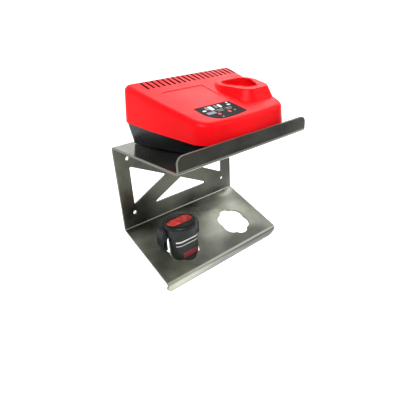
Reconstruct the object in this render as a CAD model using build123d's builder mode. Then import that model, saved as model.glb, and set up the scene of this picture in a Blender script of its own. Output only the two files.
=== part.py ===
from build123d import *

import math
import os

# Wall holder for a cordless-tool charger and its slim battery packs.
# One bent sheet of steel carries everything: the charger stands on the upper shelf, behind a turned-up
# lip, and each pack hangs plumb in a rounded slot of the sloping lower shelf.
# Millimetres, X to the right, Y into the wall, Z up. The origin lies on the wall, in the middle of the
# four screw holes.

os.makedirs("parts", exist_ok=True)

# Fits that several pieces share
slip = 0.2                       # gap round a piece that is dropped into its seat
overrun = 1.0                    # how far a cutter reaches past the face that it opens

# Bent steel holder
holder_width = 200.0
sheet = 3.0
bend_inner_radius = 2.0
shelf_spacing = 118.5            # between the upper faces of the two shelves, at the panel
upper_shelf_depth = 135.0        # from the panel's front face to the outside of the lip
upper_lip_height = 20.0          # from the underside of the shelf
upper_lip_corner = 8.0
lower_shelf_depth = 103.0        # down the slope, from the panel's front face to the outside of the lip
lower_shelf_slope = 22.0         # degrees
lower_lip_height = 18.0          # from the upper face of the shelf
lower_lip_corner = 9.0
side_rail = 19.5
cross_rail = 22.75               # from a shelf's upper face to the windows of the panel
brace_width = 21.0
brace_angle = 26.0               # degrees
window_corner = 1.5
wall_hole_diameter = 5.5
wall_hole_spacing_x = 163.0
wall_hole_spacing_z = 78.0

# Slim battery pack: three round cells in a rounded-triangle stem, under a round cap
cell_diameter = 18.4
cell_length = 65.0
cell_pitch = 19.0
stem_wall = 1.8
stem_lobe_radius = 11.4          # round each corner of the stem's triangle
pack_height = 79.0
pack_stand = 40.5                # from the shelf's face, at the pack's axis, up to the top of the cap
cap_radius = 22.8
cap_height = 15.0
cap_wall = 2.5
cap_edge = 4.0
insert_length = 38.0
insert_width = 18.0
insert_thickness = 1.6
insert_recess = 2.0
latch_width = 12.0
latch_back_shift = 5.0           # the latches sit a little behind the axis
latch_travel = 2.0
latch_reach = 31.0               # from the pack's axis to the outside of a latch
latch_arm = 2.4
latch_head_height = 9.5
contact_leaf = 0.8

# Slots of the lower shelf
slot_clearance = 1.6
slot_spacing = 98.0
slot_depth = 62.0                # down the slope, from the panel's front face to the slot's middle

# Charger
charger_half_width = 92.0
charger_depth = 131.0
charger_offset = 7.0             # the charger stands a little to the right of the middle
charger_wall = 3.0
charger_back_gap = 3.0           # from the wall to the charger's back
seam_back_height = 30.0
seam_front_height = 14.0
upper_draft = 5.0                # degrees
lower_draft = 11.0               # degrees
lower_reveal = 2.2               # how far the lower shell lies inside the upper one at the back
deck_back_height = 75.0
deck_slope = 17.0                # degrees
deck_edge = 7.0
foot_radius = 6.0
foot_height = 2.3
foot_stand = 1.5
column_x = 60.0
column_front_x = 50.0
column_back_inset = 18.0
column_front_inset = 31.0

vent_count = 19
vent_pitch = 7.8
vent_width = 3.2
vent_length = 31.0
vent_cut = 7.0
vent_offset = 6.0

name_recess_width = 62.0
name_recess_length = 36.0
name_recess_depth = 0.6
name_recess_corner = 3.0
name_recess_x = -26.0
name_recess_y = -62.0

panel_left = -50.0
panel_width = 53.0
panel_back = -92.0
panel_length = 30.0
panel_thickness = 1.0
panel_recess = 1.2

well_x = 45.0
well_y = -71.0
well_height = 60.0
well_tilt = 7.0                  # degrees
rim_back_half = 38.0
rim_front_half = 19.0
rim_back = 27.0                  # from the well's axis to the rim's back edge
rim_front = 33.0                 # and to its front edge
rim_back_corner = 22.0
rim_front_corner = 15.0
well_clearance = 0.6
well_floor_height = 14.0
sleeve_wall = 1.6
boss_draft = 30.0                # degrees
boss_depth = 24.0
boss_root = 4.0                  # how deep the boss is rooted below the deck
rim_edge = 1.5                   # height of the bevel round the rim
rim_bevel = 40.0                 # degrees

board_left = -58.0
board_right = 6.0
board_back = -20.0
board_front = -118.0
board_thickness = 1.6
board_height = 16.0
standoff_radius = 3.5
standoff_inset = 6.0
standoff_front_inset = 34.0
column_radius = 4.5
column_joint_height = 9.0
screw_radius = 1.5
screw_head_radius = 2.8
screw_head_height = 2.0
screw_length = 12.0
board_screw_length = 6.0
lamp_radius = 2.0
lamp_height = 5.0
lamp_count = 2
lamp_spacing = 15.0
lamp_x = -22.0
lamp_y = -112.0
transformer_width = 32.0
transformer_length = 28.0
transformer_height = 22.0
transformer_x = -31.0
transformer_y = -44.0
main_capacitor_radius = 9.0
main_capacitor_height = 24.0
main_capacitor_x = -42.0
main_capacitor_y = -72.0
output_capacitor_radius = 5.0
output_capacitor_height = 16.0
output_capacitor_pitch = 12.0
output_capacitor_x = -12.0
output_capacitor_y = -74.0
heat_sink_width = 10.0
heat_sink_length = 36.0
heat_sink_height = 20.0
heat_sink_x = -3.0
heat_sink_y = -48.0
heat_sink_fins = 7
cord_radius = 3.2
gland_radius = 6.0
gland_length = 14.0
gland_y = -34.0
gland_height = 14.5


def tan_of(angle):
    return math.tan(math.radians(angle))


def sin_of(angle):
    return math.sin(math.radians(angle))


def cos_of(angle):
    return math.cos(math.radians(angle))


# Places in the holder
panel_front = -sheet
upper_shelf_top = shelf_spacing / 2
lower_shelf_top = -shelf_spacing / 2
down_slope = Vector(0, -cos_of(lower_shelf_slope), -sin_of(lower_shelf_slope))
off_slope = Vector(0, -sin_of(lower_shelf_slope), cos_of(lower_shelf_slope))
slope_start = Vector(0, panel_front, lower_shelf_top)


def slope_plane(depth):
    """The upper face of the lower shelf, with its origin a given way down the slope."""
    return Plane(origin=slope_start + down_slope * depth, x_dir=(1, 0, 0), z_dir=off_slope)


# Bent steel holder: one sheet folded four times, then the openings
half_sheet = sheet / 2
lip_y = panel_front - upper_shelf_depth + half_sheet
middle_start = slope_start - off_slope * half_sheet
back_run = (half_sheet + middle_start.Y) / down_slope.Y
back_corner = middle_start - down_slope * back_run
front_corner = middle_start + down_slope * (lower_shelf_depth - half_sheet)
lower_lip_end = front_corner - off_slope * (lower_lip_height - half_sheet)
fold_points = [
    (lip_y, upper_shelf_top - sheet + upper_lip_height),
    (lip_y, upper_shelf_top - half_sheet),
    (-half_sheet, upper_shelf_top - half_sheet),
    (back_corner.Y, back_corner.Z),
    (front_corner.Y, front_corner.Z),
    (lower_lip_end.Y, lower_lip_end.Z),
]
window_width = holder_width - 2 * side_rail
window_height = shelf_spacing - 2 * cross_rail
brace_length = 2 * holder_width


def rounded_triangle(corner_radius, row_pitch):
    """Outline drawn tight round three tubes, two in front and one behind."""
    front_row = -row_pitch / 3
    back_row = 2 * row_pitch / 3
    with BuildSketch() as outline:
        with Locations((-cell_pitch / 2, front_row), (cell_pitch / 2, front_row), (0, back_row)):
            Circle(corner_radius)
        make_hull()
    return outline.sketch


cell_row = cell_pitch * cos_of(30)
slot_row = cell_row / cos_of(lower_shelf_slope)
bore_radius = stem_lobe_radius + well_clearance
stem_section = rounded_triangle(stem_lobe_radius, cell_row)
stem_bore = rounded_triangle(stem_lobe_radius - stem_wall, cell_row)
slot_section = rounded_triangle(stem_lobe_radius + slot_clearance, slot_row)
# The pack goes into the charger the other way round, with its single tube in front
well_section = Rot(0, 0, 180) * rounded_triangle(bore_radius, cell_row)
sleeve_section = Rot(0, 0, 180) * rounded_triangle(bore_radius + sleeve_wall, cell_row)

with BuildPart() as holder:
    with BuildSketch(Plane.YZ):
        with BuildLine():
            FilletPolyline(*fold_points, radius=bend_inner_radius + half_sheet)
        trace(line_width=sheet)
    extrude(amount=holder_width / 2, both=True)
    fillet(holder.edges().filter_by(Axis.Y).group_by(Axis.Z)[-1], radius=upper_lip_corner)
    lip_ends = holder.edges().filter_by(Axis(origin=(0, 0, 0), direction=down_slope)).group_by(Axis.Z)[0]
    fillet(lip_ends, radius=lower_lip_corner)
    # X-braced panel: a window less two crossing bands leaves four triangles
    with BuildSketch(Plane.XZ) as windows:
        Rectangle(window_width, window_height)
        Rectangle(brace_length, brace_width, rotation=brace_angle, mode=Mode.SUBTRACT)
        Rectangle(brace_length, brace_width, rotation=-brace_angle, mode=Mode.SUBTRACT)
        fillet(windows.vertices(), radius=window_corner)
    extrude(amount=2 * sheet, both=True, mode=Mode.SUBTRACT)
    with BuildSketch(Plane.XZ):
        with GridLocations(wall_hole_spacing_x, wall_hole_spacing_z, 2, 2):
            Circle(wall_hole_diameter / 2)
    extrude(amount=2 * sheet, both=True, mode=Mode.SUBTRACT)
    # Battery slots, cut square to the sheet and long enough for a stem that hangs plumb
    # Each is the stem's triangle laid over itself turned round, so a pack goes in either way
    with BuildSketch(slope_plane(slot_depth)):
        with GridLocations(slot_spacing, 0, 2, 1):
            add(slot_section)
            add(Rot(0, 0, 180) * slot_section)
    extrude(amount=2 * sheet, both=True, mode=Mode.SUBTRACT)

# Battery pack, hanging plumb in the left slot
# Its axis crosses the sheet in the middle of the slot's cut, so the clearance is shared out
slot_centre = slope_start + down_slope * slot_depth - off_slope * half_sheet
pack_drop = (panel_front - slot_centre.Y) * tan_of(lower_shelf_slope)
pack_spot = Vector(0, slot_centre.Y, lower_shelf_top - pack_drop)
pack_x = -slot_spacing / 2
stem_bottom = pack_stand - pack_height
cap_bottom = pack_stand - cap_height
cap_ceiling = pack_stand - insert_recess - cap_wall
cell_bottom = stem_bottom + stem_wall + contact_leaf + slip
cell_top = cell_bottom + cell_length


def pack_level(height):
    """A level plane through the pack, with its origin on the pack's axis."""
    return Plane(origin=(pack_x, pack_spot.Y, pack_spot.Z + height))


with BuildPart() as pack_case:
    with BuildSketch(pack_level(stem_bottom)):
        add(stem_section)
    extrude(amount=cap_bottom - stem_bottom)
    fillet(pack_case.faces().sort_by(Axis.Z)[0].edges(), radius=stem_wall / 2)
    with BuildSketch(pack_level(stem_bottom + stem_wall)):
        add(stem_bore)
    extrude(amount=pack_height, mode=Mode.SUBTRACT)
    # Three slots at the tip let the charger's blades reach the terminals
    with BuildSketch(pack_level(stem_bottom)):
        with GridLocations(cell_pitch / 3, 0, 3, 1):
            Rectangle(2 * contact_leaf, cell_pitch / 3)
    extrude(amount=stem_wall, mode=Mode.SUBTRACT)

latch_head_top = cap_bottom + latch_head_height
latch_inner = stem_lobe_radius + cell_pitch / 2 + slip
spring_wall_x = latch_inner - latch_travel - 2 * cap_wall

with BuildPart() as pack_cap:
    with BuildSketch(pack_level(cap_bottom)):
        Circle(cap_radius)
    extrude(amount=cap_height)
    fillet(pack_cap.faces().sort_by(Axis.Z)[-1].edges(), radius=cap_edge)
    with BuildSketch(pack_level(cap_bottom + cap_wall)):
        Circle(cap_radius - cap_wall)
    extrude(amount=cap_ceiling - cap_bottom - cap_wall, mode=Mode.SUBTRACT)
    with BuildSketch(pack_level(cap_bottom)):
        add(stem_bore)
    extrude(amount=cap_wall, mode=Mode.SUBTRACT)
    with BuildSketch(pack_level(pack_stand)):
        SlotOverall(insert_length, insert_width)
    extrude(amount=-insert_recess, mode=Mode.SUBTRACT)
    # Windows in the sides for the latches, and the walls that their springs bear on
    with BuildSketch(pack_level(cap_bottom)):
        with Locations((0, latch_back_shift)):
            Rectangle(2 * cap_radius, latch_width + 2 * slip)
            Rectangle(2 * (latch_inner - latch_travel - slip), latch_width + 2 * slip, mode=Mode.SUBTRACT)
    extrude(amount=latch_head_height + slip, mode=Mode.SUBTRACT)
    with BuildSketch(pack_level(cap_ceiling)):
        with Locations((-spring_wall_x, latch_back_shift), (spring_wall_x, latch_back_shift)):
            Rectangle(stem_wall / 2, latch_width)
    extrude(amount=cell_top + slip - cap_ceiling)

with BuildPart() as pack_insert:
    with BuildSketch(pack_level(pack_stand - insert_recess)):
        SlotOverall(insert_length - 2 * slip, insert_width - 2 * slip)
    extrude(amount=insert_thickness)
    chamfer(pack_insert.faces().sort_by(Axis.Z)[-1].edges(), length=insert_thickness / 3)

cell_places = [(-cell_pitch / 2, -cell_row / 3), (cell_pitch / 2, -cell_row / 3), (0, 2 * cell_row / 3)]
with BuildPart() as pack_cells:
    with BuildSketch(pack_level(cell_bottom)):
        with Locations(*cell_places):
            Circle(cell_diameter / 2)
    extrude(amount=cell_length)
    chamfer(pack_cells.edges().filter_by(GeomType.CIRCLE), length=slip * 2)

# Nickel straps: one joins the feet of the front pair, one joins a front cell to the back one above
strap_width = cell_diameter / 3
strap_thickness = slip
with BuildPart() as cell_straps:
    with BuildSketch(pack_level(cell_bottom)):
        with Locations((0, -cell_row / 3)):
            SlotCenterToCenter(cell_pitch, strap_width)
    extrude(amount=-strap_thickness)
    with BuildSketch(pack_level(cell_top)):
        with Locations((cell_pitch / 4, cell_row / 6)):
            SlotCenterToCenter(cell_pitch, strap_width, rotation=-60)
    extrude(amount=strap_thickness)

with BuildPart() as pack_terminals:
    with BuildSketch(pack_level(stem_bottom + stem_wall / 2)):
        with GridLocations(cell_pitch / 3, 0, 3, 1):
            Rectangle(contact_leaf, cell_pitch / 4)
    extrude(amount=cell_bottom - strap_thickness - stem_bottom - stem_wall / 2)

pack_board_height = cell_top + 2 * strap_thickness
pack_board_half = spring_wall_x - stem_wall
with BuildPart() as pack_board:
    with BuildSketch(pack_level(pack_board_height)):
        Circle(cap_radius - cap_wall - slip)
        Rectangle(2 * pack_board_half, 2 * cap_radius, mode=Mode.INTERSECT)
    extrude(amount=board_thickness)
    # Control chip and the posts that hold the board under the cap
    with BuildSketch(pack_level(pack_board_height + board_thickness)):
        Rectangle(cell_pitch / 2, cell_pitch / 2)
    extrude(amount=stem_wall / 2)


def latch(side):
    """Sprung release latch: a head in the cap's window and a looped arm down to the shelf."""
    foot = latch_back_shift + latch_width / 2
    arm_bottom = foot * tan_of(lower_shelf_slope) + 2 * slip
    loop_bottom = arm_bottom + latch_arm
    mid_reach = latch_reach - 2 * latch_arm
    rise = cap_bottom - arm_bottom
    arm_face = latch_inner + latch_travel
    arm_back = arm_face + latch_arm
    outline = [
        (latch_inner, latch_head_top),
        (mid_reach + latch_arm / 2, latch_head_top),
        (latch_reach, cap_bottom),
        (latch_reach, arm_bottom + rise / 3),
        (mid_reach, arm_bottom),
        (arm_face, arm_bottom),
        (arm_face, cap_bottom + slip),
        (latch_inner, cap_bottom + slip),
    ]
    radii = [slip, latch_arm, rise / 4, rise / 4, latch_arm / 2, latch_arm / 2, slip, slip]
    start = Plane(
        origin=(pack_x, pack_spot.Y + latch_back_shift, pack_spot.Z),
        x_dir=(side, 0, 0),
        z_dir=(0, -side, 0),
    )
    with BuildPart() as body:
        with BuildSketch(start):
            with BuildLine():
                FilletPolyline(*outline, radius=radii, close=True)
            make_face()
            with Locations(((arm_back + latch_reach - latch_arm) / 2, loop_bottom + rise / 3)):
                SlotOverall(rise / 2, latch_reach - latch_arm - arm_back, rotation=90, mode=Mode.SUBTRACT)
        extrude(amount=latch_width / 2, both=True)
    return body.part


with BuildPart() as left_latch:
    add(latch(-1))

with BuildPart() as right_latch:
    add(latch(1))

# Bowed leaf springs between the latch heads and the walls inside the cap
leaf = slip
with BuildPart() as latch_springs:
    leaf_back = spring_wall_x + stem_wall / 4
    leaf_bow = latch_inner - latch_travel - slip - leaf
    leaf_half = latch_width / 2 - slip
    for side in (-1, 1):
        with BuildSketch(pack_level(cell_top + slip)):
            with BuildLine():
                ThreePointArc(
                    (side * (leaf_back + leaf / 2), latch_back_shift - leaf_half),
                    (side * leaf_bow, latch_back_shift),
                    (side * (leaf_back + leaf / 2), latch_back_shift + leaf_half),
                )
            trace(line_width=leaf)
        extrude(amount=latch_head_top - cell_top - 3 * slip)

# Charger, standing on the upper shelf behind the lip
charger_back = -charger_back_gap


def charger_level(height):
    """A level plane through the charger, with its origin in the middle of the back edge."""
    return Plane(origin=(charger_offset, charger_back, upper_shelf_top + height))


def tilted_plane(x, y, height, slope):
    """A plane at a place of the charger that falls towards the front."""
    return Plane(
        origin=(charger_offset + x, charger_back + y, upper_shelf_top + height),
        x_dir=(1, 0, 0),
        z_dir=(0, -sin_of(slope), cos_of(slope)),
    )


def deck_height(y):
    """Height of the sloping deck at a distance from the charger's back edge."""
    return deck_back_height + y * tan_of(deck_slope)


seam_slope = math.degrees(math.atan((seam_back_height - seam_front_height) / charger_depth))
seam_plane = tilted_plane(0, 0, seam_back_height, seam_slope)


def deck_plane(drop):
    return tilted_plane(0, 0, deck_back_height - drop, deck_slope)


# Half of the charger's outline, as shares of its half width and its depth, with the radius of each corner
outline_shares = [(1, 0), (0.91, -0.42), (0.73, -0.97)]
corner_shares = [0.107, 2.3, 0.17]
bow_share = 1.9


def charger_outline(inset):
    """The charger seen from above: a straight back, sides that draw in and a slightly bowed front."""
    left = [(-x * charger_half_width, y * charger_depth) for x, y in outline_shares]
    right = [(-x, y) for x, y in reversed(left)]
    radii = [share * charger_depth for share in corner_shares]
    front = (0, -charger_depth)
    bow = bow_share * charger_depth
    with BuildSketch() as outline:
        with BuildLine():
            FilletPolyline(*left, front, *right, radius=radii + [bow] + radii[::-1], close=True)
        make_face()
        if inset:
            offset(amount=-inset, kind=Kind.INTERSECTION)
    return outline.sketch


def upper_form(inset, drop):
    """Drafted block under the sloping deck, for the upper shell and for the hollow inside it."""
    with BuildPart() as form:
        with BuildSketch(charger_level(seam_front_height - drop)):
            add(charger_outline(inset))
        extrude(amount=deck_back_height, taper=upper_draft)
        split(bisect_by=deck_plane(drop), keep=Keep.BOTTOM)
    return form


def lower_form(inset, floor):
    """Drafted block that widens from the charger's underside up to the seam."""
    rise = seam_back_height - foot_stand
    root = lower_reveal + rise * tan_of(lower_draft) + inset
    with BuildPart() as form:
        with BuildSketch(charger_level(foot_stand)):
            add(charger_outline(root))
        extrude(amount=rise, taper=-lower_draft)
        split(bisect_by=charger_level(floor), keep=Keep.TOP)
        split(bisect_by=seam_plane, keep=Keep.BOTTOM)
    return form


column_front_y = column_front_inset - charger_depth
column_places = [
    (-column_x, -column_back_inset),
    (column_x, -column_back_inset),
    (-column_front_x, column_front_y),
    (column_front_x, column_front_y),
]
standoff_depth = board_back - board_front - standoff_inset - standoff_front_inset
standoff_y = board_back - standoff_inset - standoff_depth / 2
board_middle = ((board_left + board_right) / 2, (board_back + board_front) / 2)
standoff_x = (board_right - board_left) / 2 - standoff_inset
standoff_places = [
    (board_middle[0] + x, standoff_y + y)
    for x in (-standoff_x, standoff_x)
    for y in (-standoff_depth / 2, standoff_depth / 2)
]
back_share, side_share = outline_shares[:2]
side_narrowing = charger_half_width * (back_share[0] - side_share[0])
side_run = side_narrowing / (charger_depth * (back_share[1] - side_share[1]))
side_reach = charger_half_width + gland_y * side_run
gland_lean = gland_radius * (tan_of(lower_draft) + side_run)
gland_reach = side_reach - lower_reveal - (seam_back_height - gland_height) * tan_of(lower_draft)


def gland_level(height):
    """An upright plane across the cord's exit in the right side of the lower shell."""
    origin = charger_level(gland_height).origin + Vector(gland_reach + height, gland_y, 0)
    return Plane(origin=origin, x_dir=(0, 1, 0), z_dir=(1, 0, 0))


foot_gap = foot_radius + column_radius + overrun
foot_places = [(x - math.copysign(foot_gap, x), y) for x, y in column_places]
screw_hole = screw_radius + slip
pilot_hole = screw_radius + slip / 4
head_hole = screw_head_radius + slip
base_floor = foot_stand + charger_wall
head_seat = base_floor
column_joint = base_floor + column_joint_height

body_form = upper_form(0, 0)
hollow_form = upper_form(charger_wall, charger_wall)


def rim_plane(drop):
    """The plane of the collar's rim, or one a given way below it."""
    return tilted_plane(well_x, well_y, well_height - drop, well_tilt)


def rim_outline(inset):
    """The rim seen square on: wide behind, narrow in front, and round at all four corners."""
    corners = [(-rim_back_half, rim_back), (-rim_front_half, -rim_front)]
    corners += [(-x, y) for x, y in reversed(corners)]
    radii = [rim_back_corner, rim_front_corner, rim_front_corner, rim_back_corner]
    with BuildSketch() as outline:
        with BuildLine():
            FilletPolyline(*corners, radius=radii, close=True)
        make_face()
        if inset:
            offset(amount=-inset)
    return outline.sketch


def boss_form(inset, drop):
    """Collar round the charging well: it widens from the rim down into the deck."""
    with BuildPart() as form:
        with BuildSketch(rim_plane(drop)):
            add(rim_outline(inset))
        extrude(amount=-boss_depth, taper=-boss_draft)
        split(bisect_by=deck_plane(boss_root + drop), keep=Keep.TOP)
    return form


boss_solid = boss_form(0, rim_edge)
boss_hollow = boss_form(charger_wall, charger_wall)

# The collar stays inside the drafted sides of the charger
with BuildPart() as collar:
    add(boss_solid.part)
    with BuildSketch(rim_plane(rim_edge)):
        add(rim_outline(0))
    extrude(amount=rim_edge, taper=rim_bevel)
    with BuildSketch(charger_level(seam_front_height)):
        add(charger_outline(0))
    extrude(amount=2 * deck_back_height, taper=upper_draft, mode=Mode.INTERSECT)

well_axis = charger_level(0).origin + Vector(well_x, well_y, 0)


def well_level(height):
    return Plane(origin=well_axis + Vector(0, 0, height))


# The panel's outline from its back left corner, as shares of its width and length, with its corners
panel_shares = [(0, 0), (0.03, -0.62), (0.22, -1), (0.62, -1.02), (1.06, -0.92), (1, 0)]
panel_round_shares = [0.04, 0.3, 0.3, 1.2, 0.04, 0.04]


def status_form(inset):
    """Upright prism on the status panel's outline, with its bowed front."""
    points = [(panel_left + x * panel_width, panel_back + y * panel_length) for x, y in panel_shares]
    radii = [share * panel_width for share in panel_round_shares]
    with BuildPart() as form:
        with BuildSketch(charger_level(0)):
            with BuildLine():
                FilletPolyline(*points, radius=radii, close=True)
            make_face()
            if inset:
                offset(amount=-inset)
        extrude(amount=2 * deck_back_height)
    return form


with BuildPart() as status_seat:
    add(status_form(0).part)
    split(bisect_by=deck_plane(panel_recess), keep=Keep.TOP)

# Room inside the upper shell, under the deck and under the collar
with BuildPart() as collar_room:
    add(boss_hollow.part)
    with BuildSketch(charger_level(seam_front_height)):
        add(charger_outline(charger_wall))
    extrude(amount=2 * deck_back_height, taper=upper_draft, mode=Mode.INTERSECT)

with BuildPart() as cavity:
    add(hollow_form.part)
    add(collar_room.part)

# Screw columns under the deck
with BuildPart() as columns:
    with BuildSketch(charger_level(column_joint)):
        with Locations(*column_places):
            Circle(column_radius)
            Circle(pilot_hole, mode=Mode.SUBTRACT)
    extrude(amount=deck_back_height)
    add(cavity.part, mode=Mode.INTERSECT)

# Upper shell: drafted block, collar, recesses, vents and the well's mouth
with BuildPart() as upper_housing:
    add(body_form.part)
    split(bisect_by=seam_plane, keep=Keep.TOP)
    deck_rim = upper_housing.faces().sort_by(Axis.Z)[-1].edges()
    fillet(deck_rim, radius=deck_edge)
    add(collar.part)
    add(cavity.part, mode=Mode.SUBTRACT)
    with BuildSketch(well_level(0)):
        add(well_section)
    extrude(amount=2 * well_height, mode=Mode.SUBTRACT)
    # Recess for the name, left bare, and the seat of the status panel
    with BuildSketch(tilted_plane(name_recess_x, name_recess_y, deck_height(name_recess_y), deck_slope)):
        RectangleRounded(name_recess_width, name_recess_length, name_recess_corner)
    extrude(amount=-name_recess_depth, mode=Mode.SUBTRACT)
    add(status_seat.part, mode=Mode.SUBTRACT)
    with BuildSketch(charger_level(0)):
        with Locations((lamp_x, lamp_y)):
            with GridLocations(lamp_spacing, 0, lamp_count, 1):
                Circle(lamp_radius + slip)
    extrude(amount=2 * deck_back_height, mode=Mode.SUBTRACT)
    # Row of vents over the back edge
    with BuildSketch(deck_plane(vent_cut)):
        with Locations((vent_offset, 0)):
            with GridLocations(vent_pitch, 0, vent_count, 1):
                SlotOverall(2 * vent_length, vent_width, rotation=90)
    extrude(amount=deck_back_height, mode=Mode.SUBTRACT)
    add(columns.part)

# Lower shell, standing on four feet
lower_solid = lower_form(0, foot_stand)
lower_hollow = lower_form(charger_wall, base_floor)

with BuildPart() as base_posts:
    with BuildSketch(charger_level(base_floor)):
        with Locations(*column_places):
            Circle(column_radius)
    extrude(amount=column_joint_height - slip)
    with BuildSketch(charger_level(base_floor)):
        with Locations(*standoff_places):
            Circle(standoff_radius)
    extrude(amount=board_height - base_floor)

with BuildPart() as lower_housing:
    add(lower_solid.part)
    add(lower_hollow.part, mode=Mode.SUBTRACT)
    add(base_posts.part)
    with BuildSketch(charger_level(foot_stand)):
        with Locations(*column_places):
            Circle(screw_hole)
    extrude(amount=column_joint, mode=Mode.SUBTRACT)
    with BuildSketch(charger_level(foot_stand)):
        with Locations(*column_places):
            Circle(head_hole)
    extrude(amount=head_seat - foot_stand, mode=Mode.SUBTRACT)
    with BuildSketch(charger_level(board_height)):
        with Locations(*standoff_places):
            Circle(pilot_hole)
    extrude(amount=-board_screw_length, mode=Mode.SUBTRACT)
    with BuildSketch(charger_level(foot_stand)):
        with Locations(*foot_places):
            Circle(foot_radius + slip)
    extrude(amount=foot_height - foot_stand, mode=Mode.SUBTRACT)
    # Exit of the cord
    with BuildSketch(gland_level(0)):
        Circle(gland_radius + slip)
    extrude(amount=gland_length, both=True, mode=Mode.SUBTRACT)

with BuildPart() as charger_feet:
    with BuildSketch(charger_level(0)):
        with Locations(*foot_places):
            Circle(foot_radius)
    extrude(amount=foot_height)
    chamfer(charger_feet.faces().group_by(Axis.Z)[0].edges(), length=slip * 2)


def pan_screws(places, seat, length, head_up):
    """Pan-head screws with a cross recess, standing head up or head down on a seat."""
    turn = 1 if head_up else -1
    with BuildPart() as screws:
        with BuildSketch(charger_level(seat)):
            with Locations(*places):
                Circle(screw_head_radius)
        extrude(amount=turn * screw_head_height)
        crown = screws.faces().sort_by(Axis.Z)
        crown = crown[-len(places):] if head_up else crown[:len(places)]
        fillet(crown.edges(), radius=screw_head_height / 3)
        with BuildSketch(charger_level(seat)):
            with Locations(*places):
                Circle(screw_radius)
        extrude(amount=-turn * length)
        with BuildSketch(charger_level(seat + turn * screw_head_height)):
            with Locations(*places):
                Rectangle(screw_head_radius, screw_radius / 3)
                Rectangle(screw_radius / 3, screw_head_radius)
        extrude(amount=-turn * screw_head_height / 2, mode=Mode.SUBTRACT)
    return screws.part


with BuildPart() as housing_screws:
    add(pan_screws(column_places, head_seat, screw_length, False))

with BuildPart() as board_screws:
    add(pan_screws(standoff_places, board_height + board_thickness, board_screw_length, True))

# Circuit board and what it carries
board_top = board_height + board_thickness
with BuildPart() as circuit_board:
    with BuildSketch(charger_level(board_height)):
        with Locations(board_middle):
            Rectangle(board_right - board_left, board_back - board_front)
        with Locations(*column_places):
            Circle(column_radius + overrun, mode=Mode.SUBTRACT)
        with Locations(*standoff_places):
            Circle(screw_hole, mode=Mode.SUBTRACT)
    extrude(amount=board_thickness)

with BuildPart() as transformer:
    core = transformer_height / 4
    with BuildSketch(charger_level(board_top)):
        with Locations((transformer_x, transformer_y)):
            Rectangle(transformer_width - 2 * core, transformer_length)
    extrude(amount=transformer_height)
    fillet(transformer.edges().filter_by(Axis.Z), radius=core / 2)
    with BuildSketch(charger_level(board_top + core / 2)):
        with Locations((transformer_x, transformer_y)):
            Rectangle(transformer_width, transformer_length / 2)
    extrude(amount=transformer_height - core)

with BuildPart() as main_capacitor:
    with BuildSketch(charger_level(board_top)):
        with Locations((main_capacitor_x, main_capacitor_y)):
            Circle(main_capacitor_radius)
    extrude(amount=main_capacitor_height)
    fillet(main_capacitor.edges().filter_by(GeomType.CIRCLE), radius=overrun)

with BuildPart() as output_capacitors:
    with BuildSketch(charger_level(board_top)):
        with Locations((output_capacitor_x, output_capacitor_y)):
            with GridLocations(output_capacitor_pitch, 0, 2, 1):
                Circle(output_capacitor_radius)
    extrude(amount=output_capacitor_height)
    fillet(output_capacitors.edges().filter_by(GeomType.CIRCLE), radius=overrun / 2)

with BuildPart() as heat_sink:
    fin_pitch = heat_sink_length / heat_sink_fins
    with BuildSketch(charger_level(board_top)):
        with Locations((heat_sink_x, heat_sink_y)):
            Rectangle(heat_sink_width / 4, heat_sink_length)
            with GridLocations(0, fin_pitch, 1, heat_sink_fins):
                Rectangle(heat_sink_width, fin_pitch / 3)
    extrude(amount=heat_sink_height)

with BuildPart() as indicator_lamps:
    with BuildSketch(charger_level(board_top)):
        with Locations((lamp_x, lamp_y)):
            with GridLocations(lamp_spacing, 0, lamp_count, 1):
                Circle(lamp_radius)
    extrude(amount=lamp_height)
    fillet(indicator_lamps.faces().group_by(Axis.Z)[-1].edges(), radius=lamp_radius / 2)

# Light pipes from the lamps up to the panel, cut flush with it
with BuildPart() as light_pipes:
    with BuildSketch(charger_level(board_top + lamp_height + slip)):
        with Locations((lamp_x, lamp_y)):
            with GridLocations(lamp_spacing, 0, lamp_count, 1):
                Circle(lamp_radius)
    extrude(amount=deck_back_height)
    split(bisect_by=deck_plane(panel_recess - panel_thickness), keep=Keep.BOTTOM)

with BuildPart() as status_panel:
    add(status_form(slip).part)
    split(bisect_by=deck_plane(panel_recess), keep=Keep.TOP)
    split(bisect_by=deck_plane(panel_recess - panel_thickness), keep=Keep.BOTTOM)
    with BuildSketch(charger_level(0)):
        with Locations((lamp_x, lamp_y)):
            with GridLocations(lamp_spacing, 0, lamp_count, 1):
                Circle(lamp_radius + slip)
    extrude(amount=2 * deck_back_height, mode=Mode.SUBTRACT)

# Sleeve of the well, held between the collar's roof and the contact block
sleeve_floor = well_floor_height - sleeve_wall
blade_spread = cell_pitch / 3
with BuildPart() as well_sleeve:
    with BuildSketch(well_level(sleeve_floor)):
        add(sleeve_section)
    extrude(amount=well_height)
    with BuildSketch(well_level(well_floor_height)):
        add(well_section)
    extrude(amount=well_height, mode=Mode.SUBTRACT)
    split(bisect_by=rim_plane(charger_wall + slip), keep=Keep.BOTTOM)
    with BuildSketch(well_level(sleeve_floor)):
        with GridLocations(blade_spread, 0, 3, 1):
            Rectangle(contact_leaf + 2 * slip, cell_pitch / 4 + 2 * slip)
    extrude(amount=sleeve_wall, mode=Mode.SUBTRACT)

with BuildPart() as contact_block:
    with BuildSketch(well_level(base_floor)):
        RectangleRounded(cell_pitch + 2 * sleeve_wall, cell_pitch / 2 + sleeve_wall, sleeve_wall)
    extrude(amount=sleeve_floor - base_floor)
    with BuildSketch(well_level(base_floor + sleeve_wall)):
        with GridLocations(blade_spread, 0, 3, 1):
            Rectangle(contact_leaf + slip, cell_pitch / 4 + slip)
    extrude(amount=sleeve_floor, mode=Mode.SUBTRACT)

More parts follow.
